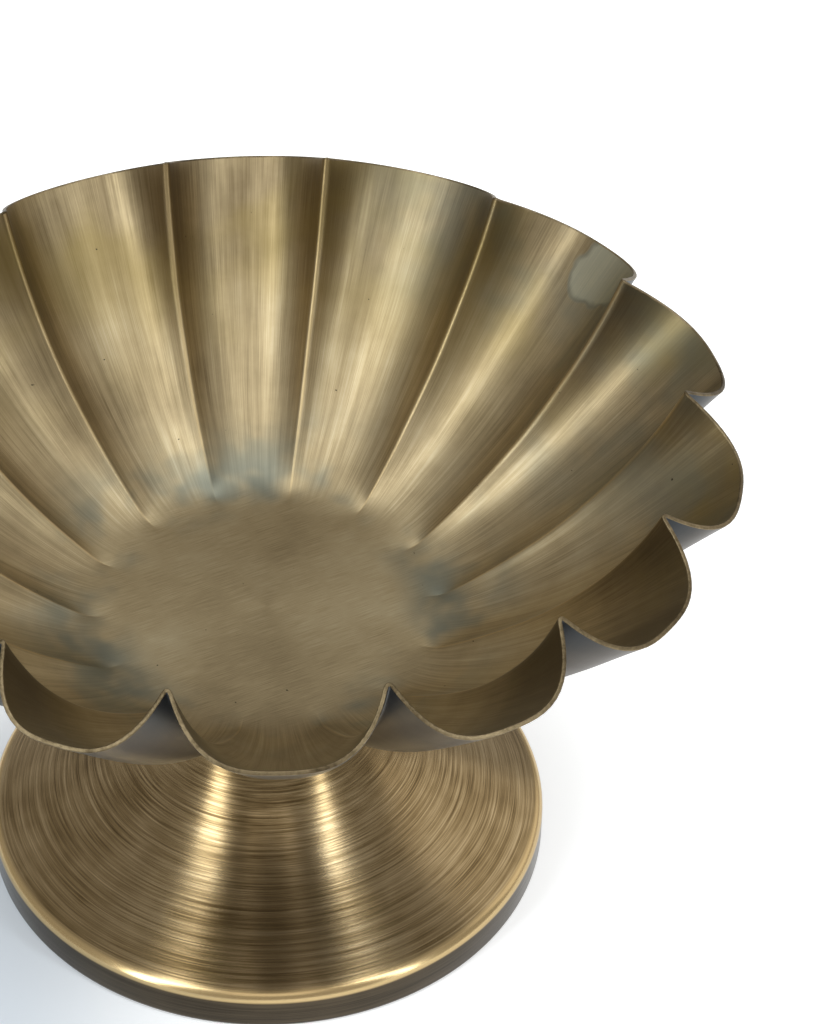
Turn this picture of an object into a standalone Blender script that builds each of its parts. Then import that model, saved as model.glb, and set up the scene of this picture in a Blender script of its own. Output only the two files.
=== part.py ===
"""A footed brass bowl with fourteen pressed flutes.

The bowl and its trumpet foot are thin sheet. A disc brazed under the bowl's floor
carries a stud, which a nut pulls down from inside the hollow foot.
Metres, +Z up, origin at the centre of the resting ring.
"""
import math

import bmesh
import bpy

# Driving dimensions, in metres
FLUTES = 14
HEIGHT = 0.1547           # resting ring to the cusps between two lobes
TIP_RADIUS = 0.1243       # inside the middle of a lobe, at the rim
CUSP_RADIUS = 0.1094      # inside the ridge between two lobes, at the rim
RIM_DROP = 0.0107         # how far the middle of a lobe's rim lies below its ends
FLOOR_RADIUS = 0.048      # where the ridges run out into the flat floor
FLOOR_HEIGHT = 0.083      # top of the flat floor
SHEET = 0.0011            # thickness of the brass sheet
FOOT_RADIUS = 0.0782
SKIRT_HEIGHT = 0.0097     # upright edge of the foot, below its rounded shoulder
NECK_RADIUS = 0.021
GAP = 0.0003              # between two touching pieces

# The bowl's walls
RIDGE_BOW = 0.0077        # how far a ridge's arc bellies out from its chord
VALLEY_BOW = 0.0087       # the same for the middle of a lobe
RIM_FLARE = 0.0032        # taken off that belly below the rim, so the lobes flare out
LOBE_POWER = 2.4          # shape of a lobe's cross-section, 2 is a parabola
RIM_POWER = 0.8           # added to it at the rim, where the lobes are fuller
RIDGE_CREST = 0.0014      # radius of a ridge's rounded crest
RIDGE_FILLET = 0.004      # the floor turns up into a ridge over twice this length
VALLEY_FILLET = 0.012     # and into the middle of a lobe over twice this length
COLUMNS = 10              # faces across a lobe
WALL_RINGS = 7            # faces up the wall, above the fillet

# The foot
SHOULDER_ROUND = 0.003
SHOULDER_START = 62       # degrees, where the cone runs into the shoulder's arc
HEM_WIDTH = 0.004         # sheet turned in under the skirt, the ring that rests
FOOT_STEPS = 48

# The hidden fastening, M6
DISC_RADIUS = 0.019
DISC_THICKNESS = 0.0015
STUD_RADIUS = 0.003
STUD_LENGTH = 0.021
CLEARANCE_HOLE_RADIUS = 0.0036
WASHER_RADIUS = 0.009
WASHER_THICKNESS = 0.0012
SPRING_WASHER_RADIUS = 0.0059
SPRING_WASHER_THICKNESS = 0.0016
SPRING_WASHER_SLIT = 0.0009
NUT_ACROSS_FLATS = 0.010
NUT_HEIGHT = 0.005
NUT_CHAMFER = 0.0007
ROUND_STEPS = 32

SOFT_ANGLE = math.radians(35)
MERGE = 0.00001


def clear_scene():
    for thing in list(bpy.data.objects):
        bpy.data.objects.remove(thing, do_unlink=True)


def new_collection(name):
    collection = bpy.data.collections.new(name)
    bpy.context.scene.collection.children.link(collection)
    return collection


def metal(name, colour, roughness):
    material = bpy.data.materials.new(name)
    material.use_nodes = True
    shader = material.node_tree.nodes["Principled BSDF"]
    shader.inputs["Base Color"].default_value = (*colour, 1.0)
    shader.inputs["Metallic"].default_value = 1.0
    shader.inputs["Roughness"].default_value = roughness
    return material


def add_object(name, mesh_data, material, collection):
    thing = bpy.data.objects.new(name, mesh_data)
    mesh_data.materials.append(material)
    collection.objects.link(thing)
    return thing


def smooth(mesh_data):
    mesh_data.shade_smooth()
    mesh_data.set_sharp_from_angle(angle=SOFT_ANGLE)


def arc_point(start, end, bow, share, flare=0.0):
    """Point on a shallow arc in the (radius, height) plane, bellied down and out.

    The flare is at its full size two thirds of the way along.
    """
    run = end[0] - start[0]
    rise = end[1] - start[1]
    chord = math.hypot(run, rise)
    radius = (chord * chord / 4 + bow * bow) / (2 * bow)
    half_angle = math.asin(chord / 2 / radius)
    angle = (2 * share - 1) * half_angle
    along = (chord / 2 + radius * math.sin(angle)) / chord
    out = radius * (math.cos(angle) - math.cos(half_angle)) / chord
    out -= flare * 27 / 4 * share * share * (1 - share) / chord
    return (start[0] + run * along + rise * out, start[1] + rise * along - run * out)


def eased(distance, fillet):
    """Zero below -fillet, the distance itself above +fillet, and smooth between."""
    if distance <= -fillet:
        return 0.0
    if distance >= fillet:
        return distance
    share = (distance + fillet) / (2 * fillet)
    return 2 * fillet * (share ** 3 - share ** 4 / 2)


def lobe_share(across, half_width, depth, power):
    """0 on a ridge (across = -1 or 1), 1 in the middle of a lobe, round over the ridge's crest."""
    inward = (1 - abs(across)) * half_width
    flank = math.atan(power * depth / half_width)
    crest_width = RIDGE_CREST * math.sin(flank)
    if depth < MERGE:
        return 1 - abs(across) ** power
    crest_drop = RIDGE_CREST * (1 - math.cos(flank)) / math.tan(flank)
    if inward < crest_width:
        drop = (RIDGE_CREST - math.sqrt(RIDGE_CREST ** 2 - inward ** 2)) / math.tan(flank)
    else:
        drop = inward - crest_width + crest_drop
    return 1 - (1 - drop / (half_width - crest_width + crest_drop)) ** power


WALL_LENGTH = math.hypot(TIP_RADIUS - FLOOR_RADIUS, HEIGHT - RIM_DROP - FLOOR_HEIGHT)


def bowl_point(across, distance):
    """Radius and height of the bowl's inside, at a distance out from the floor's edge."""
    floor_edge = (FLOOR_RADIUS, FLOOR_HEIGHT)
    cusp = (CUSP_RADIUS, HEIGHT)
    tip = (TIP_RADIUS, HEIGHT - RIM_DROP)
    floor_share = 1 - abs(across) ** LOBE_POWER
    fillet = RIDGE_FILLET + (VALLEY_FILLET - RIDGE_FILLET) * floor_share
    share = eased(distance, fillet) / WALL_LENGTH
    ridge = arc_point(floor_edge, cusp, RIDGE_BOW, share)
    valley = arc_point(floor_edge, tip, VALLEY_BOW, share, RIM_FLARE)
    full_depth = math.dist(ridge, valley)
    power = LOBE_POWER + RIM_POWER * share * share
    depth = lobe_share(across, ridge[0] * math.sin(math.pi / FLUTES), full_depth, power)
    radius = ridge[0] + (valley[0] - ridge[0]) * depth - eased(-distance, fillet)
    height = ridge[1] + (valley[1] - ridge[1]) * depth
    return radius, height


def build_bowl(material, collection):
    """A loft from the round floor to the scalloped rim, given the sheet's thickness."""
    spread = [math.sin(math.pi * (column / COLUMNS - 0.5)) for column in range(COLUMNS)]
    fillet_rings = [-VALLEY_FILLET, -VALLEY_FILLET / 2, 0.0, VALLEY_FILLET / 2]
    wall_run = WALL_LENGTH - VALLEY_FILLET
    wall_rings = [VALLEY_FILLET + wall_run * ring / WALL_RINGS for ring in range(WALL_RINGS + 1)]
    bm = bmesh.new()
    rings = []
    for distance in fillet_rings + wall_rings:
        ring = []
        for flute in range(FLUTES):
            for across in spread:
                radius, height = bowl_point(across, distance)
                angle = (flute + (across + 1) / 2) * math.tau / FLUTES
                ring.append(bm.verts.new((radius * math.cos(angle), radius * math.sin(angle), height)))
        rings.append(ring)
    bm.faces.new(rings[0])
    count = len(rings[0])
    for inner, outer in zip(rings, rings[1:]):
        for i in range(count):
            j = (i + 1) % count
            bm.faces.new((inner[j], inner[i], outer[i], outer[j]))
    mesh_data = bpy.data.meshes.new("fluted_bowl")
    bm.to_mesh(mesh_data)
    bm.free()
    smooth(mesh_data)
    bowl = add_object("fluted_bowl", mesh_data, material, collection)
    sheet = bowl.modifiers.new("sheet", "SOLIDIFY")
    sheet.thickness = SHEET
    sheet.offset = -1.0
    sheet.use_even_offset = True
    return bowl


def turned(name, profile, steps, material, collection, closed=False):
    """Spin a profile of (radius, height) points, listed from the top down, about Z."""
    bm = bmesh.new()
    points = [bm.verts.new((radius, 0.0, height)) for radius, height in profile]
    for upper, lower in zip(points, points[1:]):
        bm.edges.new((upper, lower))
    if closed:
        bm.edges.new((points[-1], points[0]))
    mesh_data = bpy.data.meshes.new(name)
    bm.to_mesh(mesh_data)
    bm.free()
    thing = add_object(name, mesh_data, material, collection)
    screw = thing.modifiers.new("turn", "SCREW")
    screw.steps = steps
    screw.render_steps = steps
    screw.use_merge_vertices = True
    screw.merge_threshold = MERGE
    return thing


def bezier(a, b, c, d, steps):
    points = []
    for step in range(steps + 1):
        t = step / steps
        weights = ((1 - t) ** 3, 3 * t * (1 - t) ** 2, 3 * t * t * (1 - t), t ** 3)
        points.append(tuple(sum(w * p[i] for w, p in zip(weights, (a, b, c, d))) for i in (0, 1)))
    return points


def round_corner(centre, radius, start, end, steps):
    """Points on an arc, angles in degrees from +X towards +Z."""
    points = []
    for step in range(steps + 1):
        angle = math.radians(start + (end - start) * step / steps)
        points.append((centre[0] + radius * math.cos(angle), centre[1] + radius * math.sin(angle)))
    return points


def foot_top():
    return FLOOR_HEIGHT - SHEET - GAP - DISC_THICKNESS - GAP


def build_foot(material, collection):
    """Closed neck, trumpet cone, rounded shoulder, upright skirt and turned-in hem."""
    top = foot_top()
    corner = 0.002
    neck_corner = (NECK_RADIUS - corner, top - corner)
    shoulder_centre = (FOOT_RADIUS - SHOULDER_ROUND, SKIRT_HEIGHT)
    shoulder = round_corner(shoulder_centre, SHOULDER_ROUND, SHOULDER_START, 0, 4)
    hem_corner = (FOOT_RADIUS - corner, corner)
    profile = [(CLEARANCE_HOLE_RADIUS, top)]
    profile += round_corner(neck_corner, corner, 90, 0, 2)
    profile += bezier((NECK_RADIUS, 0.074), (NECK_RADIUS, 0.047), (0.038, 0.0315), shoulder[0], 8)
    profile += shoulder[1:]
    profile += round_corner(hem_corner, corner, 0, -90, 2)
    profile += [(FOOT_RADIUS - corner - HEM_WIDTH, 0.0)]
    foot = turned("pedestal_foot", profile, FOOT_STEPS, material, collection)
    sheet = foot.modifiers.new("sheet", "SOLIDIFY")
    sheet.thickness = SHEET
    sheet.offset = -1.0
    sheet.use_even_offset = True
    return foot


def ring_profile(inner, outer, top, thickness):
    bottom = top - thickness
    return [(inner, top), (outer, top), (outer, bottom), (inner, bottom)]


def build_disc(material, collection):
    top = FLOOR_HEIGHT - SHEET - GAP
    profile = ring_profile(STUD_RADIUS + GAP, DISC_RADIUS, top, DISC_THICKNESS)
    return turned("brazed_disc", profile, ROUND_STEPS, material, collection, closed=True)


def build_stud(material, collection):
    top = FLOOR_HEIGHT - SHEET - GAP
    chamfer = 0.0006
    bottom = top - STUD_LENGTH
    profile = [(0.0, top), (STUD_RADIUS, top), (STUD_RADIUS, bottom + chamfer)]
    profile += [(STUD_RADIUS - chamfer, bottom), (0.0, bottom)]
    return turned("threaded_stud", profile, ROUND_STEPS, material, collection)


def build_washer(top, material, collection):
    profile = ring_profile(STUD_RADIUS + GAP, WASHER_RADIUS, top, WASHER_THICKNESS)
    return turned("flat_washer", profile, ROUND_STEPS, material, collection, closed=True)


def box_cutter(name, size, place, collection):
    bm = bmesh.new()
    bmesh.ops.create_cube(bm, size=1.0)
    bmesh.ops.scale(bm, vec=size, verts=bm.verts)
    mesh_data = bpy.data.meshes.new(name)
    bm.to_mesh(mesh_data)
    bm.free()
    cutter = bpy.data.objects.new(name, mesh_data)
    cutter.location = place
    cutter.hide_render = True
    cutter.display_type = "WIRE"
    collection.objects.link(cutter)
    return cutter


def build_spring_washer(top, material, collection, cutters):
    """A flattened coil, so a ring with one slit."""
    thickness = SPRING_WASHER_THICKNESS
    profile = ring_profile(STUD_RADIUS + GAP, SPRING_WASHER_RADIUS, top, thickness)
    washer = turned("spring_washer", profile, ROUND_STEPS, material, collection, closed=True)
    reach = 2 * SPRING_WASHER_RADIUS
    size = (reach, SPRING_WASHER_SLIT, 3 * thickness)
    cutter = box_cutter("slit_cutter", size, (reach / 2, 0.0, top - thickness / 2), cutters)
    slit = washer.modifiers.new("slit", "BOOLEAN")
    slit.operation = "DIFFERENCE"
    slit.object = cutter
    return washer


def build_nut(top, material, collection, cutters):
    """A hexagon with chamfered corners, bored for the stud."""
    corner_radius = NUT_ACROSS_FLATS / 2 / math.cos(math.pi / 6)
    bottom = top - NUT_HEIGHT
    profile = [(0.0, top), (corner_radius - NUT_CHAMFER, top)]
    profile += [(corner_radius, top - NUT_CHAMFER / 2), (corner_radius, bottom + NUT_CHAMFER / 2)]
    profile += [(corner_radius - NUT_CHAMFER, bottom), (0.0, bottom)]
    nut = turned("hex_nut", profile, 6, material, collection)
    bore_radius = STUD_RADIUS + GAP
    over = 0.001
    bore = [(0.0, top + over), (bore_radius, top + over), (bore_radius, bottom - over), (0.0, bottom - over)]
    cutter = turned("bore_cutter", bore, ROUND_STEPS, material, cutters)
    cutter.hide_render = True
    cutter.display_type = "WIRE"
    cut = nut.modifiers.new("bore", "BOOLEAN")
    cut.operation = "DIFFERENCE"
    cut.object = cutter
    return nut


def main():
    clear_scene()
    parts = new_collection("pedestal_bowl")
    cutters = new_collection("cutters")
    bowl_brass = metal("bowl_brass", (0.42, 0.34, 0.20), 0.34)
    foot_brass = metal("foot_brass", (0.40, 0.32, 0.19), 0.30)
    plain_brass = metal("plain_brass", (0.50, 0.38, 0.18), 0.45)
    zinc_steel = metal("zinc_steel", (0.50, 0.50, 0.48), 0.40)

    build_bowl(bowl_brass, parts)
    build_foot(foot_brass, parts)
    build_disc(plain_brass, parts)
    build_stud(zinc_steel, parts)
    washer_top = foot_top() - SHEET - GAP
    build_washer(washer_top, zinc_steel, parts)
    spring_top = washer_top - WASHER_THICKNESS - GAP
    build_spring_washer(spring_top, zinc_steel, parts, cutters)
    nut_top = spring_top - SPRING_WASHER_THICKNESS - GAP
    build_nut(nut_top, zinc_steel, parts, cutters)


main()
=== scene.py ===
"""Looks of the footed brass bowl: fine shells, antique brass, floor, light and camera."""
import math

import bpy
import numpy as np
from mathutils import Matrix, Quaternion, Vector, noise


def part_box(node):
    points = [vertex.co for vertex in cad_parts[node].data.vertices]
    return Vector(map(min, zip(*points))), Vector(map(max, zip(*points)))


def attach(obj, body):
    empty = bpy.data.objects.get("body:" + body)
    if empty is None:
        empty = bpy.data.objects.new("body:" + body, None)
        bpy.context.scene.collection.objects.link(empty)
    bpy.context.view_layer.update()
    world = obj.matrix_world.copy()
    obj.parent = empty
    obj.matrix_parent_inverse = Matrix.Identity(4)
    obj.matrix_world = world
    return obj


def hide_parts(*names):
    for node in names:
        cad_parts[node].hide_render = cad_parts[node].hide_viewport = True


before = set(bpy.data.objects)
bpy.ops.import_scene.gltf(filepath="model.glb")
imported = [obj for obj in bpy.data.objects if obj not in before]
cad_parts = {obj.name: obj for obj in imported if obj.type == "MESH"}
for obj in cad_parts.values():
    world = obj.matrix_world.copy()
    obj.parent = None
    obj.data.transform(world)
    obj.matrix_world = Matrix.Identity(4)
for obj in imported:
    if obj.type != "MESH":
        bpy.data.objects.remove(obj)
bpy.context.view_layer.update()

# The bowl, in metres, as the frame's own bowl is shaped
FLUTES = 14
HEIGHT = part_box("fluted_bowl")[1].z
TIP_RADIUS = 0.1243           # the rim in the middle of a lobe
CUSP_RADIUS = 0.1094          # the rim on a ridge
RIM_DROP = 0.0107             # a lobe's rim lies this far below the ridges' ends
FLOOR_RADIUS = 0.048
FLOOR_HEIGHT = 0.083
SHEET = 0.0011
RIDGE_BOW = 0.0077            # how far a ridge bellies out from a straight line
VALLEY_BOW = 0.0087
RIM_FLARE = 0.0032            # the middle of a lobe flares out to the rim by this much
LOBE_POWER = 2.4              # a lobe's section: 2 is a parabola, and more is boxier
RIM_POWER = 0.8               # added to it at the rim
RIDGE_CREST = 0.0014          # radius of a ridge's rounded crest
RIDGE_FILLET = 0.004          # half the length of the bend between floor and wall, on a ridge
VALLEY_FILLET = 0.012         # the same in the middle of a lobe
WALL_LENGTH = math.hypot(TIP_RADIUS - FLOOR_RADIUS, HEIGHT - RIM_DROP - FLOOR_HEIGHT)
EDGE_ROUND = 0.00025          # the cut rim's worn corners

# The bowl's mesh
COLUMNS = 36                  # faces across a lobe
FLOOR_RINGS = 10
BEND_RINGS = 17
WALL_RINGS = 46
EDGE_STEPS = 4
FLOOR_CENTRE = 0.002          # radius of the one face in the middle of the floor
SLOPE_STEP = 0.00002          # a short way along the sheet, to find which way it faces
LOBE_HALF_WIDTH = 0.024       # roughly, at the rim

# The foot, in metres
FOOT_RADIUS = 0.0782
SKIRT_HEIGHT = 0.0097
NECK_RADIUS = 0.021
NECK_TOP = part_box("pedestal_foot")[1].z
NECK_END = 0.074              # the neck is straight down to this height
CONE_PULLS = ((NECK_RADIUS, 0.047), (0.038, 0.0315))
HOLE_RADIUS = 0.0036
SHOULDER_ROUND = 0.003
SHOULDER_START = 62           # degrees up the shoulder's arc where the cone runs into it
CORNER_ROUND = 0.002
HEM_WIDTH = 0.004
FOOT_STEPS = 224
WELD_DISTANCE = 0.000001

# Hand work: how far the flutes stray from true
RIDGE_LEAN = math.radians(2.5)     # a ridge's lower end lies this far round from its top
RIDGE_STRAY = np.radians([-0.5, 0, 0.5, 1.5, -0.5, 0, 0, 0, 0.5, 1.5, -1.5, 0.5, 0, -1])
DENT_DEPTH = 0.00016
DENT_SIZE = 0.022
DENT_FADE = 0.02                   # the dents fade out over this height below the ridges' ends
DENT_SEED = 1                      # without one, the vector noise takes its seed from the clock

SHEET_UV = "sheet"        # metres across and along the sheet. On the foot, turns and metres
FLUTE_UV = "flute"        # place in a lobe, 0 to 1 across and up


# ---------------------------------------------------------------- shells

def unit(vectors):
    return vectors / np.linalg.norm(vectors, axis=-1, keepdims=True)


def arc_points(start, end, bow, share, flare=0.0):
    """Points on a shallow arc in the (radius, height) plane, bellied down and out."""
    run = end[0] - start[0]
    rise = end[1] - start[1]
    chord = math.hypot(run, rise)
    radius = (chord * chord / 4 + bow * bow) / (2 * bow)
    half_angle = math.asin(chord / 2 / radius)
    angle = (2 * share - 1) * half_angle
    along = (chord / 2 + radius * np.sin(angle)) / chord
    out = radius * (np.cos(angle) - math.cos(half_angle)) / chord
    out -= flare * 27 / 4 * share * share * (1 - share) / chord
    return start[0] + run * along + rise * out, start[1] + rise * along - run * out


def eased(distance, fillet):
    """Zero below -fillet, the distance itself above +fillet, and smooth between."""
    share = np.clip((distance + fillet) / (2 * fillet), 0, 1)
    bend = 2 * fillet * (share ** 3 - share ** 4 / 2)
    return np.where(distance >= fillet, distance, bend)


def lobe_share(across, half_width, depth, power):
    """0 on a ridge (across = -1 or 1), 1 in the middle of a lobe, round over the ridge's crest."""
    inward = (1 - np.abs(across)) * half_width
    slope = np.maximum(power * depth / half_width, 1e-4)
    flank = np.arctan(slope)
    crest_width = RIDGE_CREST * np.sin(flank)
    crest_drop = RIDGE_CREST * (1 - np.cos(flank)) / slope
    on_crest = RIDGE_CREST - np.sqrt(RIDGE_CREST ** 2 - np.minimum(inward, crest_width) ** 2)
    drop = np.where(inward < crest_width, on_crest / slope, inward - crest_width + crest_drop)
    return 1 - (1 - drop / (half_width - crest_width + crest_drop)) ** power


def bowl_surface(turn, across, distance):
    """Points on the bowl's inside.

    turn is the angle round the bowl, across is the place in a lobe, -1 to 1, and distance is
    how far out along the wall from the floor's edge.
    """
    floor_edge = (FLOOR_RADIUS, FLOOR_HEIGHT)
    tip = (TIP_RADIUS, HEIGHT - RIM_DROP)
    floor_share = 1 - np.abs(across) ** LOBE_POWER
    fillet = RIDGE_FILLET + (VALLEY_FILLET - RIDGE_FILLET) * floor_share
    share = eased(distance, fillet) / WALL_LENGTH
    ridge = arc_points(floor_edge, (CUSP_RADIUS, HEIGHT), RIDGE_BOW, share)
    valley = arc_points(floor_edge, tip, VALLEY_BOW, share, RIM_FLARE)
    full_depth = np.hypot(valley[0] - ridge[0], valley[1] - ridge[1])
    power = LOBE_POWER + RIM_POWER * share * share
    depth = lobe_share(across, ridge[0] * math.sin(math.pi / FLUTES), full_depth, power)
    radius = ridge[0] + (valley[0] - ridge[0]) * depth - eased(-distance, fillet)
    height = ridge[1] + (valley[1] - ridge[1]) * depth
    up = np.clip(share, 0, 1)
    ridge_turns = np.arange(FLUTES) * math.tau / FLUTES
    stray = np.interp(turn, ridge_turns, RIDGE_STRAY, period=math.tau)
    angle = turn + RIDGE_LEAN * (1 - up) + stray * up
    return np.stack([radius * np.cos(angle), radius * np.sin(angle), height], -1)


def bowl_frame(turns, acrosses, places):
    """Points on the bowl's inside, the way up the wall at each, and the way the sheet faces."""
    base = bowl_surface(turns, acrosses, places)
    above = bowl_surface(turns, acrosses, places + SLOPE_STEP)
    below = bowl_surface(turns, acrosses, places - SLOPE_STEP)
    upward = unit(above - below)
    nudge = SLOPE_STEP / LOBE_HALF_WIDTH
    nudge_turn = nudge * math.pi / FLUTES
    side = bowl_surface(turns + nudge_turn, acrosses + nudge, places)
    side = side - bowl_surface(turns - nudge_turn, acrosses - nudge, places)
    on_ridge = np.abs(acrosses[0]) == 1
    around = np.stack([-base[..., 1], base[..., 0], np.zeros(turns.shape)], -1)
    side[:, on_ridge] = around[:, on_ridge]
    normal = unit(np.cross(upward, unit(side)))
    normal *= np.sign(normal[..., 2:3] + 1e-9)
    return base, upward, normal


def dent(point):
    """The slight unevenness of hand-finished sheet, which fades out at the ridges' ends."""
    place = Vector(point) / DENT_SIZE
    fade = min(1.0, max(0.0, (HEIGHT - point[2]) / DENT_FADE))
    return np.array(noise.noise_vector(place)) * DENT_DEPTH * fade


def edge_round_path(thickness, corner, steps):
    """(offset through the sheet, reach past its end) round a cut edge with two worn corners."""
    path = []
    for centre, start in ((corner, 180), (thickness - corner, 90)):
        for step in range(steps + 1):
            angle = math.radians(start - 90 * step / steps)
            path.append((centre + corner * math.cos(angle), corner * math.sin(angle)))
    return np.array(path)


def grid_mesh(name, points, uv_maps, materials, row_slots, cap_ends):
    """A mesh from rows of points that close round. Each UV map has one more column."""
    rows, columns = points.shape[:2]
    row = np.arange(rows - 1)[:, None] * columns
    here = np.arange(columns)[None, :]
    there = (here + 1) % columns
    quads = np.stack([row + here, row + there, row + there + columns, row + here + columns], -1)
    faces = quads.reshape(-1, 4).tolist()
    slots = np.repeat(row_slots, columns).tolist()
    if cap_ends:
        faces.append(list(range(columns))[::-1])
        faces.append(list(range((rows - 1) * columns, rows * columns)))
        slots += [row_slots[0], row_slots[-1]]
    mesh = bpy.data.meshes.new(name)
    mesh.from_pydata(points.reshape(-1, 3).tolist(), [], faces)
    for uv_name, uv in uv_maps.items():
        corners = np.stack([uv[:-1, :-1], uv[:-1, 1:], uv[1:, 1:], uv[1:, :-1]], 2).reshape(-1, 2)
        if cap_ends:
            corners = np.concatenate([corners, uv[0, :-1][::-1], uv[-1, :-1]])
        layer = mesh.uv_layers.new(name=uv_name)
        layer.data.foreach_set("uv", corners.astype(np.float32).ravel())
    for material in materials:
        mesh.materials.append(material)
    mesh.polygons.foreach_set("material_index", slots)
    mesh.shade_smooth()
    mesh.update()
    thing = bpy.data.objects.new(name, mesh)
    bpy.context.scene.collection.objects.link(thing)
    return thing


def make_bowl(inside, rim, outside):
    """Inside surface, worn rim and outside surface as one closed shell."""
    # Columns round the bowl, closer together near the ridges
    lobe = [math.sin(math.pi * (column / COLUMNS - 0.5)) for column in range(COLUMNS)]
    across = np.array(lobe * FLUTES + [-1.0])
    flute = np.repeat(np.arange(FLUTES + 1), COLUMNS)[:len(across)]
    turn = (flute + (across + 1) / 2) * math.tau / FLUTES

    # Rings from the middle of the floor up the inside, over the rim and back down the outside
    end = WALL_LENGTH - EDGE_ROUND
    floor_rings = np.linspace(FLOOR_CENTRE - FLOOR_RADIUS, -VALLEY_FILLET, FLOOR_RINGS)
    bend_rings = np.linspace(-VALLEY_FILLET, VALLEY_FILLET, BEND_RINGS)[1:-1]
    wall_rings = np.linspace(VALLEY_FILLET, end - EDGE_ROUND, WALL_RINGS)
    inner = np.concatenate([floor_rings, bend_rings, wall_rings])
    outer_wall = wall_rings[::-1][::2][::-1]
    outer = np.concatenate([floor_rings, bend_rings[::2], outer_wall])[::-1]
    edge = edge_round_path(SHEET, EDGE_ROUND, EDGE_STEPS)
    distance = np.concatenate([inner, np.full(len(edge), end), outer])
    offset = np.concatenate([np.zeros(len(inner)), edge[:, 0], np.full(len(outer), SHEET)])
    reach = np.concatenate([np.zeros(len(inner)), edge[:, 1], np.zeros(len(outer))])

    turns, places = np.meshgrid(turn, distance)
    acrosses = np.broadcast_to(across, turns.shape)
    base, upward, normal = bowl_frame(turns, acrosses, places)
    points = base - normal * offset[:, None, None] + upward * reach[:, None, None]
    noise.seed_set(DENT_SEED)
    for row in points:
        for k, point in enumerate(row):
            row[k] = point + dent(point)

    # Metres across the sheet, measured round one ring part-way up the wall
    spacing = np.linalg.norm(np.diff(points[len(inner) * 3 // 4], axis=0), axis=-1)
    metres_across = np.concatenate([[0], np.cumsum(spacing)])
    sheet_uv = np.stack([np.broadcast_to(metres_across, turns.shape), places], -1)
    flute_uv = np.stack([acrosses / 2 + 0.5, places / WALL_LENGTH], -1)
    row_slots = np.zeros(len(distance) - 1, int)
    row_slots[len(inner) - 1:] = 1
    row_slots[len(inner) + len(edge) - 1:] = 2
    uv_maps = {SHEET_UV: sheet_uv, FLUTE_UV: flute_uv}
    return grid_mesh("fluted_bowl_shell", points[:, :-1], uv_maps,
                     [inside, rim, outside], row_slots, cap_ends=True)


def bezier(a, b, c, d, steps):
    t = np.linspace(0, 1, steps + 1)[:, None]
    a, b, c, d = (np.array(p) for p in (a, b, c, d))
    return (1 - t) ** 3 * a + 3 * t * (1 - t) ** 2 * b + 3 * t * t * (1 - t) * c + t ** 3 * d


def round_corner(centre, radius, start, end, steps):
    angle = np.radians(np.linspace(start, end, steps + 1))
    return np.stack([centre[0] + radius * np.cos(angle), centre[1] + radius * np.sin(angle)], -1)


def foot_profile():
    """The foot's outside as (radius, height), from the bolt hole out and down to the hem."""
    neck_corner = (NECK_RADIUS - CORNER_ROUND, NECK_TOP)
    flat_top = np.linspace((HOLE_RADIUS, NECK_TOP), neck_corner, 6)[:-1]
    neck_centre = (NECK_RADIUS - CORNER_ROUND, NECK_TOP - CORNER_ROUND)
    neck = round_corner(neck_centre, CORNER_ROUND, 90, 0, 6)
    shoulder_centre = (FOOT_RADIUS - SHOULDER_ROUND, SKIRT_HEIGHT)
    shoulder = round_corner(shoulder_centre, SHOULDER_ROUND, SHOULDER_START, 0, 10)
    cone = bezier((NECK_RADIUS, NECK_END), *CONE_PULLS, shoulder[0], 44)[:-1]
    hem_centre = (FOOT_RADIUS - CORNER_ROUND, CORNER_ROUND)
    hem = round_corner(hem_centre, CORNER_ROUND, 0, -90, 6)
    lip = np.array([(FOOT_RADIUS - CORNER_ROUND - HEM_WIDTH, 0.0)])
    return np.concatenate([flat_top, neck, cone, shoulder, hem, lip])


def make_foot(outside, inside):
    """Closed neck, trumpet cone, rounded shoulder, upright skirt and turned-in hem, one sheet."""
    outer = foot_profile()
    along = unit(np.gradient(outer, axis=0))
    inward = np.stack([along[:, 1], -along[:, 0]], -1)
    inner = (outer + inward * SHEET)[::-1]
    profile = np.concatenate([outer, inner, outer[:1]])
    steps = np.linalg.norm(np.diff(profile, axis=0), axis=-1)
    length = np.concatenate([[0], np.cumsum(steps)])[:, None]
    angle = np.linspace(0, math.tau, FOOT_STEPS + 1)
    radius = profile[:, 0][:, None]
    height = np.broadcast_to(profile[:, 1][:, None], (len(profile), len(angle)))
    points = np.stack([radius * np.cos(angle), radius * np.sin(angle), height], -1)
    turns = np.broadcast_to(angle / math.tau, height.shape)
    sheet_uv = np.stack([turns, np.broadcast_to(length, height.shape)], -1)
    row_slots = np.zeros(len(profile) - 1, int)
    row_slots[len(outer) - 2:] = 1
    foot = grid_mesh("pedestal_foot_shell", points[:, :-1], {SHEET_UV: sheet_uv},
                     [outside, inside], row_slots, cap_ends=False)
    weld = foot.modifiers.new("close_profile", "WELD")
    weld.merge_threshold = WELD_DISTANCE
    return foot


# ---------------------------------------------------------------- materials

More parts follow.
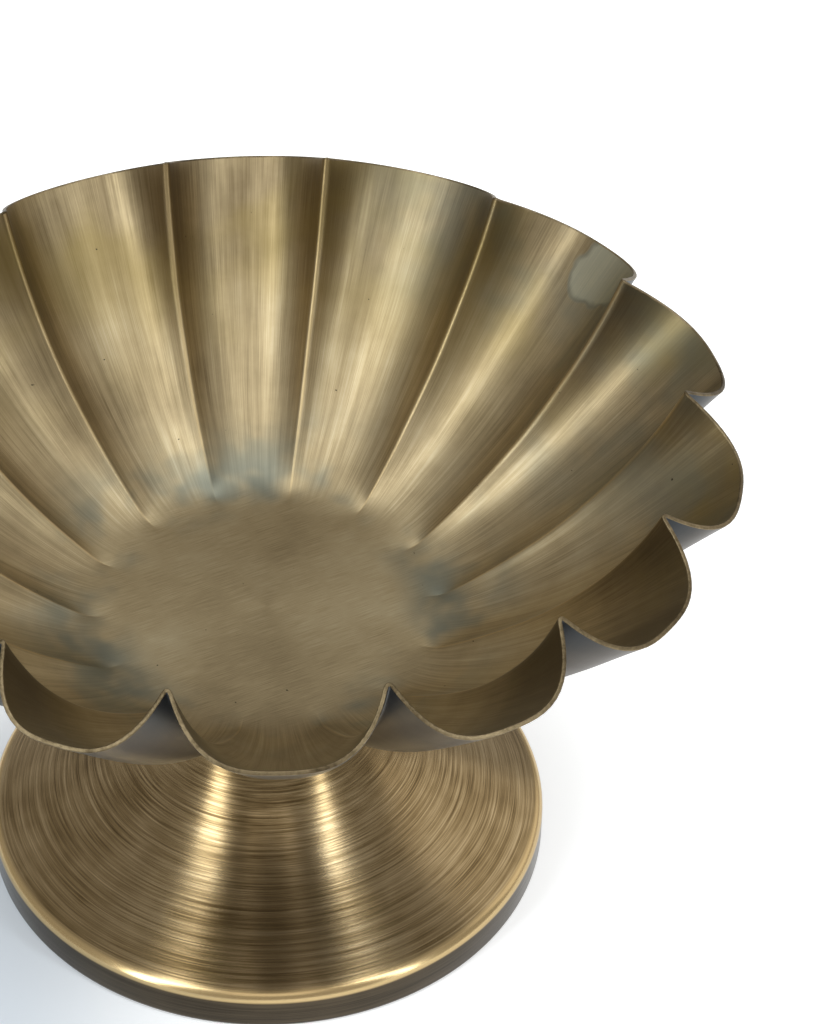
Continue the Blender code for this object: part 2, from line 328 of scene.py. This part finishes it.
DARK = (0.060, 0.043, 0.022)
BROWN = (0.165, 0.122, 0.066)
BRASS = (0.33, 0.258, 0.148)
PALE = (0.47, 0.395, 0.255)
GOLD = (0.60, 0.44, 0.22)
WORN = (0.26, 0.20, 0.115)
OLIVE = (0.25, 0.185, 0.062)
LATHE_DARK = (0.105, 0.068, 0.028)
LATHE_MID = (0.255, 0.180, 0.088)
LATHE_PALE = (0.42, 0.32, 0.185)
PATINA = (0.12, 0.135, 0.115)
PALE_PATCH = (0.36, 0.37, 0.29)
UMBER = (0.040, 0.032, 0.022)
SMOKE = (0.054, 0.040, 0.024)
SLATE = (0.054, 0.050, 0.042)
INK = (0.026, 0.034, 0.042)
SKIRT_PALE = (0.092, 0.072, 0.048)
ZINC_DARK = (0.34, 0.34, 0.33)
ZINC_PALE = (0.58, 0.58, 0.56)
# Pale blue, painted as shade at the floor's front left
FLOOR_PAINTED_SHADE = (0.76, 0.81, 0.87)
FLOOR_WHITE = (0.9, 0.9, 0.9)
WHITE = (1.0, 1.0, 1.0, 1.0)

# Brush lines: (width, length) in metres. The lathe's have changes round the axis for a length.
WALL_BRUSH = (0.00028, 0.025)
WALL_STREAKS = (0.0024, 0.060)
FLOOR_BRUSH = (0.00022, 0.009)
FLOOR_BRUSH_ANGLE = math.radians(24)
OUTSIDE_BRUSH = (0.0004, 0.03)
LATHE_BRUSH = (0.00024, 2.6)
LATHE_STREAKS = (0.0008, 1.4)
HIDDEN_LATHE = (0.0008, 2.0)

# Depth of the bumps, in metres
BRUSH_DEPTH = 0.00001
LATHE_DEPTH = 0.000008
HIDDEN_DEPTH = 0.00008
GRAIN_DEPTH = 0.00003

PALE_PATCH_PLACE = (0.0950, 0.0680, 0.1440)
PALE_PATCH_RADIUS = 0.0135


class Nodes:
    """Short names for the nodes that the brass is made of."""

    def __init__(self, name):
        self.material = bpy.data.materials.new(name)
        self.material.use_nodes = True
        self.tree = self.material.node_tree
        self.shader = self.tree.nodes["Principled BSDF"]

    def link(self, value, socket):
        if isinstance(value, bpy.types.NodeSocket):
            self.tree.links.new(value, socket)
        else:
            socket.default_value = value

    def math(self, operation, a, b=0.0, c=0.0):
        made = self.tree.nodes.new("ShaderNodeMath")
        made.operation = operation
        for socket, value in zip(made.inputs, (a, b, c)):
            self.link(value, socket)
        return made.outputs[0]

    def times(self, a, b):
        return self.math("MULTIPLY", a, b)

    def larger(self, a, b):
        return self.math("MAXIMUM", a, b)

    def away_from(self, value, middle):
        """How far a value is from the middle, on either side."""
        return self.math("ABSOLUTE", self.math("SUBTRACT", value, middle))

    def weighted(self, *pairs):
        """The sum of (value, weight) pairs."""
        total = 0.0
        for value, weight in pairs:
            total = self.math("MULTIPLY_ADD", value, weight, total)
        return total

    def blend(self, share, a, b):
        """A number that goes from a to b."""
        return self.math("MULTIPLY_ADD", self.math("SUBTRACT", b, a), share, a)

    def range(self, value, low, high, to_low=0.0, to_high=1.0):
        made = self.tree.nodes.new("ShaderNodeMapRange")
        made.interpolation_type = "SMOOTHSTEP"
        for socket, number in zip(made.inputs, (value, low, high, to_low, to_high)):
            self.link(number, socket)
        return made.outputs[0]

    def vector(self, x, y, z=0.0):
        made = self.tree.nodes.new("ShaderNodeCombineXYZ")
        for socket, value in zip(made.inputs, (x, y, z)):
            self.link(value, socket)
        return made.outputs[0]

    def split(self, vector):
        made = self.tree.nodes.new("ShaderNodeSeparateXYZ")
        self.link(vector, made.inputs[0])
        return made.outputs

    def uv(self, name):
        made = self.tree.nodes.new("ShaderNodeUVMap")
        made.uv_map = name
        return self.split(made.outputs[0])[:2]

    def place(self):
        return self.tree.nodes.new("ShaderNodeTexCoord").outputs["Object"]

    def turned(self, vector, angle):
        """x and y of a place, in axes turned by an angle about Z."""
        x, y, _ = self.split(vector)
        cosine, sine = math.cos(angle), math.sin(angle)
        along = self.math("MULTIPLY_ADD", x, cosine, self.times(y, sine))
        aside = self.math("MULTIPLY_ADD", y, cosine, self.times(x, -sine))
        return along, aside

    def noise(self, vector, scale, detail, roughness=0.5):
        made = self.tree.nodes.new("ShaderNodeTexNoise")
        self.link(vector, made.inputs["Vector"])
        made.inputs["Scale"].default_value = scale
        made.inputs["Detail"].default_value = detail
        made.inputs["Roughness"].default_value = roughness
        return made.outputs["Fac"]

    def streaks(self, across, along, brush):
        """Straight brush lines: noise stretched along the brush."""
        width, length = brush
        stretched = self.vector(self.math("DIVIDE", across, width),
                                self.math("DIVIDE", along, length))
        return self.noise(stretched, 1.0, 3.0, 0.6)

    def lathe_lines(self, brush):
        """Brush lines round the foot's axis."""
        width, changes = brush
        turn, along = self.uv(SHEET_UV)
        angle = self.times(turn, math.tau)
        ring = self.vector(self.times(self.math("COSINE", angle), changes),
                           self.times(self.math("SINE", angle), changes),
                           self.math("DIVIDE", along, width))
        return self.noise(ring, 1.0, 3.0, 0.6)

    def ramp(self, value, stops):
        made = self.tree.nodes.new("ShaderNodeValToRGB")
        elements = made.color_ramp.elements
        while len(elements) < len(stops):
            elements.new(0.5)
        for element, (place, colour) in zip(elements, stops):
            element.position = place
            element.color = (*colour, 1.0)
        self.link(value, made.inputs[0])
        return made.outputs["Color"]

    def mix(self, share, a, b):
        made = self.tree.nodes.new("ShaderNodeMix")
        made.data_type = "RGBA"
        self.link(share, made.inputs[0])
        for value, socket in ((a, made.inputs[6]), (b, made.inputs[7])):
            self.link(value if isinstance(value, bpy.types.NodeSocket) else (*value, 1.0), socket)
        return made.outputs[2]

    def pale_patched(self, colour, place, centre, radius):
        """A pale patch with a dark outline, its edge made uneven by noise."""
        squares = 0.0
        for value, middle in zip(self.split(place), centre):
            away = self.math("SUBTRACT", value, middle)
            squares = self.math("MULTIPLY_ADD", away, away, squares)
        wobble = self.math("SUBTRACT", self.noise(place, 90.0, 2.0), 0.5)
        reach = self.math("MULTIPLY_ADD", wobble, radius * 0.8, self.math("POWER", squares, 0.5))
        inside = self.range(reach, radius * 1.02, radius * 0.94)
        outline = self.times(inside, self.range(reach, radius * 0.84, radius * 0.98))
        colour = self.mix(self.times(inside, 0.5), colour, PALE_PATCH)
        return self.mix(self.times(outline, 0.5), colour, UMBER)

    def bump(self, height, distance):
        made = self.tree.nodes.new("ShaderNodeBump")
        made.inputs["Distance"].default_value = distance
        made.inputs["Strength"].default_value = 1.0
        self.link(height, made.inputs["Height"])
        self.link(made.outputs[0], self.shader.inputs["Normal"])

    def brushed(self, anisotropy, rotation):
        """The highlight spreads across the brush lines."""
        tangent = self.tree.nodes.new("ShaderNodeTangent")
        tangent.direction_type = "UV_MAP"
        tangent.uv_map = SHEET_UV
        self.link(tangent.outputs[0], self.shader.inputs["Tangent"])
        self.shader.inputs["Anisotropic"].default_value = anisotropy
        self.shader.inputs["Anisotropic Rotation"].default_value = rotation

    def finish(self, colour, roughness, metallic=1.0):
        self.link(colour, self.shader.inputs["Base Color"])
        self.link(roughness, self.shader.inputs["Roughness"])
        self.link(metallic, self.shader.inputs["Metallic"])
        return self.material


def bowl_inside():
    """Brushed along the flutes and one way over the floor, darker towards the rim."""
    n = Nodes("antique_brass_inside")
    across, along = n.uv(SHEET_UV)
    lobe_across, lobe_up = n.uv(FLUTE_UV)
    place = n.place()
    x, y, _ = n.split(place)
    on_wall = n.range(lobe_up, -0.06, 0.05)
    from_middle = n.away_from(lobe_across, 0.5)

    # Brush lines and clouds make the tone
    cross_x, cross_y = n.turned(place, FLOOR_BRUSH_ANGLE)
    wall_fine = n.streaks(across, along, WALL_BRUSH)
    floor_fine = n.streaks(cross_y, cross_x, FLOOR_BRUSH)
    fine = n.blend(on_wall, floor_fine, wall_fine)
    broad = n.blend(on_wall, 0.5, n.streaks(across, along, WALL_STREAKS))
    cloud = n.noise(place, 34.0, 5.0, 0.6)
    grime = n.noise(place, 11.0, 3.0, 0.55)
    wall_top = n.range(lobe_up, 0.45, 1.0)
    tone = n.weighted((fine, 0.24), (broad, 0.24), (cloud, 0.27), (grime, 0.27),
                      (wall_top, -0.075), (-0.01, 1.0))
    colour = n.ramp(tone, [(0.36, BROWN), (0.50, BRASS), (0.62, PALE)])

    # Painted shade beside the ridges, broken into patches by the grime noise, and a painted
    # highlight along them
    # Painted shade: darker brass down both sides of each ridge, in patches
    ridge_side_shade = n.times(n.range(from_middle, 0.30, 0.47), n.range(lobe_up, 0.35, 0.95))
    ridge_side_shade = n.times(ridge_side_shade, n.range(grime, 0.30, 0.52))
    colour = n.mix(n.times(ridge_side_shade, 0.7), colour, LATHE_DARK)
    # Painted highlight: a thin gold line along each ridge's crest
    ridge = n.times(n.range(from_middle, 0.482, 0.498), on_wall)
    colour = n.mix(n.times(ridge, 0.4), colour, GOLD)

    # Blue-grey patina round the floor, and yellowing higher up
    wall_foot = n.times(n.range(lobe_up, -0.15, 0.0), n.range(lobe_up, 0.32, 0.03))
    patches = n.range(n.noise(place, 32.0, 3.0, 0.6), 0.42, 0.64)
    colour = n.mix(n.times(n.times(wall_foot, patches), 0.8), colour, PATINA)
    yellow_patches = n.range(n.noise(place, 15.0, 3.0, 0.6), 0.42, 0.60)
    yellowed = n.times(yellow_patches, n.range(lobe_up, 0.2, 0.9))
    colour = n.mix(n.times(yellowed, 0.55), colour, OLIVE)

    # Painted shade darkens the near wall, and the right side has patina too
    near_wall_shade = n.times(n.range(y, -0.01, -0.09), n.range(lobe_up, 0.35, 0.85))
    colour = n.mix(n.times(near_wall_shade, 0.8), colour, DARK)
    to_right = n.range(n.weighted((x, 0.9), (y, 0.4)), 0.05, 0.11)
    tint = n.times(to_right, n.range(n.noise(place, 22.0, 3.0, 0.6), 0.42, 0.66))
    colour = n.mix(n.times(tint, 0.6), colour, PATINA)

    colour = n.pale_patched(colour, place, PALE_PATCH_PLACE, PALE_PATCH_RADIUS)
    specks = n.range(n.noise(place, 560.0, 1.0), 0.80, 0.85)
    colour = n.mix(specks, colour, UMBER)
    n.bump(fine, BRUSH_DEPTH)
    n.brushed(0.2, 0.0)
    return n.finish(colour, n.range(tone, 0.35, 0.65, 0.46, 0.38))


def bowl_outside():
    """Smoke-dark brass, blue-black in the creases below the rim."""
    n = Nodes("antique_brass_outside")
    across, along = n.uv(SHEET_UV)
    lobe_across, lobe_up = n.uv(FLUTE_UV)
    fine = n.streaks(across, along, OUTSIDE_BRUSH)
    cloud = n.noise(n.place(), 24.0, 4.0, 0.6)
    tone = n.weighted((fine, 0.4), (cloud, 0.6))
    colour = n.ramp(tone, [(0.35, UMBER), (0.50, SMOKE), (0.78, SLATE)])
    crease = n.range(n.away_from(lobe_across, 0.5), 0.28, 0.46)
    crease = n.times(crease, n.range(lobe_up, 0.72, 1.0))
    colour = n.mix(n.times(crease, 0.8), colour, INK)
    n.bump(fine, BRUSH_DEPTH)
    n.brushed(0.3, 0.0)
    return n.finish(colour, n.range(cloud, 0.3, 0.7, 0.42, 0.34))


def rim_edge():
    """The cut edge of the sheet, scuffed and worn."""
    n = Nodes("worn_brass_edge")
    place = n.place()
    scuffs = n.noise(place, 900.0, 3.0, 0.7)
    wear = n.noise(place, 60.0, 3.0, 0.6)
    tone = n.weighted((scuffs, 0.4), (wear, 0.6))
    return n.finish(n.ramp(tone, [(0.35, DARK), (0.65, WORN)]), 0.45)


def foot_outside():
    """Brushed in rings, with a painted highlight along the shoulder, dark on the skirt."""
    n = Nodes("antique_brass_foot")
    place = n.place()
    x, y, height = n.split(place)
    fine = n.lathe_lines(LATHE_BRUSH)
    broad = n.lathe_lines(LATHE_STREAKS)
    cloud = n.noise(place, 30.0, 3.0, 0.6)
    tone = n.weighted((fine, 0.40), (broad, 0.30), (cloud, 0.30))
    colour = n.ramp(tone, [(0.40, LATHE_DARK), (0.50, LATHE_MID), (0.61, LATHE_PALE)])
    squares = n.math("MULTIPLY_ADD", y, y, n.times(x, x))
    radius = n.math("POWER", squares, 0.5)
    # Painted highlight: a gold band at the shoulder's radius
    shoulder = n.range(radius, FOOT_RADIUS - 0.0028, FOOT_RADIUS - 0.0012)
    colour = n.mix(n.times(shoulder, 0.85), colour, GOLD)
    skirt = n.range(height, SKIRT_HEIGHT + 0.0006, SKIRT_HEIGHT - 0.0004)
    colour = n.mix(skirt, colour, n.ramp(tone, [(0.40, UMBER), (0.60, SKIRT_PALE)]))
    n.bump(n.weighted((fine, 1.0), (broad, 0.6)), LATHE_DEPTH)
    n.brushed(0.55, 0.25)
    return n.finish(colour, n.range(tone, 0.35, 0.65, 0.27, 0.22))


def foot_inside():
    """Dull, unpolished brass under the foot."""
    n = Nodes("dull_brass_inside")
    cloud = n.noise(n.place(), 40.0, 5.0, 0.65)
    lines = n.lathe_lines(HIDDEN_LATHE)
    tone = n.weighted((cloud, 0.7), (lines, 0.3))
    n.bump(n.weighted((cloud, 0.5), (lines, 0.5)), HIDDEN_DEPTH)
    return n.finish(n.ramp(tone, [(0.3, DARK), (0.7, BRASS)]), 0.5)


def plain_metal(name, dark, light, roughness):
    n = Nodes(name)
    grain = n.noise(n.place(), 700.0, 4.0, 0.6)
    n.bump(grain, GRAIN_DEPTH)
    return n.finish(n.ramp(grain, [(0.3, dark), (0.7, light)]), roughness)


def floor_material():
    """White and glowing behind the bowl, to its right and far away, painted light that clears
    shadows there, and pale blue at its front left, painted shade.
    """
    n = Nodes("pale_floor")
    x, y, _ = n.split(n.place())
    near_white = n.larger(n.range(x, -0.08, 0.0), n.range(y, -0.02, 0.12))
    far_white = n.larger(n.range(x, -0.35, -0.6), n.range(y, -0.35, -0.6))
    glow_share = n.larger(near_white, far_white)
    # Painted light: the floor glows where it is white, so no shadow shows there
    n.link(n.times(glow_share, 0.45), n.shader.inputs["Emission Strength"])
    n.shader.inputs["Emission Color"].default_value = WHITE
    return n.finish(n.mix(glow_share, FLOOR_PAINTED_SHADE, FLOOR_WHITE), 0.8, 0.0)


# ---------------------------------------------------------------- stage, light and camera

FLOOR_REACH = 4.0
LIGHT_TARGET = Vector((0.0, 0.0, 0.08))
COOL = (0.90, 0.96, 1.0)
WARM = (1.0, 0.98, 0.94)
ROOM_LIGHT = 0.48

# Name, azimuth and elevation in degrees, distance and size in metres, radiance, colour.
# Azimuth 0 is on the camera's side, positive towards +X.
SOFT_BOXES = (
    ("left_box", -47, 37, 1.2, (0.24, 1.8), 8.0, COOL),
    ("right_box", 47, 37, 1.2, (0.13, 1.8), 8.0, COOL),
    ("overhead_box", 180, 82, 1.3, (1.0, 0.85), 2.0, COOL),
    ("right_fill", 115, 30, 1.3, (0.9, 0.9), 0.7, WARM),
    ("front_fill", 0, 58, 1.5, (0.7, 1.1), 0.7, WARM),
)

CAMERA_PLACE = Vector((-0.0245, -0.7336, 0.7542))
CAMERA_AIM = Vector((0.0407, 0.0371, 0.083))
CAMERA_ROLL = math.radians(1.43)
CAMERA_LENS = 128.65


def make_floor():
    reach = FLOOR_REACH
    corners = [(-reach, -reach, 0), (reach, -reach, 0), (reach, reach, 0), (-reach, reach, 0)]
    mesh = bpy.data.meshes.new("floor")
    mesh.from_pydata(corners, [], [(0, 1, 2, 3)])
    mesh.materials.append(floor_material())
    floor = bpy.data.objects.new("floor", mesh)
    bpy.context.scene.collection.objects.link(floor)


def make_soft_box(name, azimuth, elevation, distance, size, radiance, colour):
    a = math.radians(azimuth)
    e = math.radians(elevation)
    way = Vector((math.sin(a) * math.cos(e), -math.cos(a) * math.cos(e), math.sin(e)))
    data = bpy.data.lights.new(name, "AREA")
    data.shape = "RECTANGLE"
    data.size, data.size_y = size
    data.energy = radiance * math.pi * size[0] * size[1]
    data.color = colour
    lamp = bpy.data.objects.new(name, data)
    lamp.location = LIGHT_TARGET + way * distance
    lamp.rotation_mode = "QUATERNION"
    lamp.rotation_quaternion = way.to_track_quat("Z", "Y")
    bpy.context.scene.collection.objects.link(lamp)


def make_room():
    world = bpy.data.worlds.new("room")
    world.use_nodes = True
    background = world.node_tree.nodes["Background"]
    background.inputs["Color"].default_value = (*WARM, 1.0)
    background.inputs["Strength"].default_value = ROOM_LIGHT
    bpy.context.scene.world = world


def make_camera():
    data = bpy.data.cameras.new("camera")
    data.lens = CAMERA_LENS
    data.sensor_width = 36.0
    data.clip_start = 0.01
    camera = bpy.data.objects.new("camera", data)
    camera.location = CAMERA_PLACE
    camera.rotation_mode = "QUATERNION"
    aim = (CAMERA_AIM - CAMERA_PLACE).to_track_quat("-Z", "Y")
    camera.rotation_quaternion = aim @ Quaternion((0.0, 0.0, 1.0), CAMERA_ROLL)
    bpy.context.scene.collection.objects.link(camera)
    bpy.context.scene.camera = camera


# ---------------------------------------------------------------- the scene

def dress(node, material):
    """A CAD node keeps its mesh and gets this material."""
    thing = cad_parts[node]
    thing.data.materials.clear()
    thing.data.materials.append(material)


bowl = make_bowl(bowl_inside(), rim_edge(), bowl_outside())
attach(bowl, "root")
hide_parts("fluted_bowl")

foot = make_foot(foot_outside(), foot_inside())
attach(foot, "root")
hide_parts("pedestal_foot")

dress("brazed_disc", plain_metal("brazed_brass", BROWN, BRASS, 0.45))
zinc = plain_metal("zinc_plate", ZINC_DARK, ZINC_PALE, 0.38)
for fastener in ("threaded_stud", "flat_washer", "spring_washer", "hex_nut"):
    dress(fastener, zinc)

make_floor()
for soft_box in SOFT_BOXES:
    make_soft_box(*soft_box)
make_room()
make_camera()
bpy.context.scene.view_settings.view_transform = "Standard"
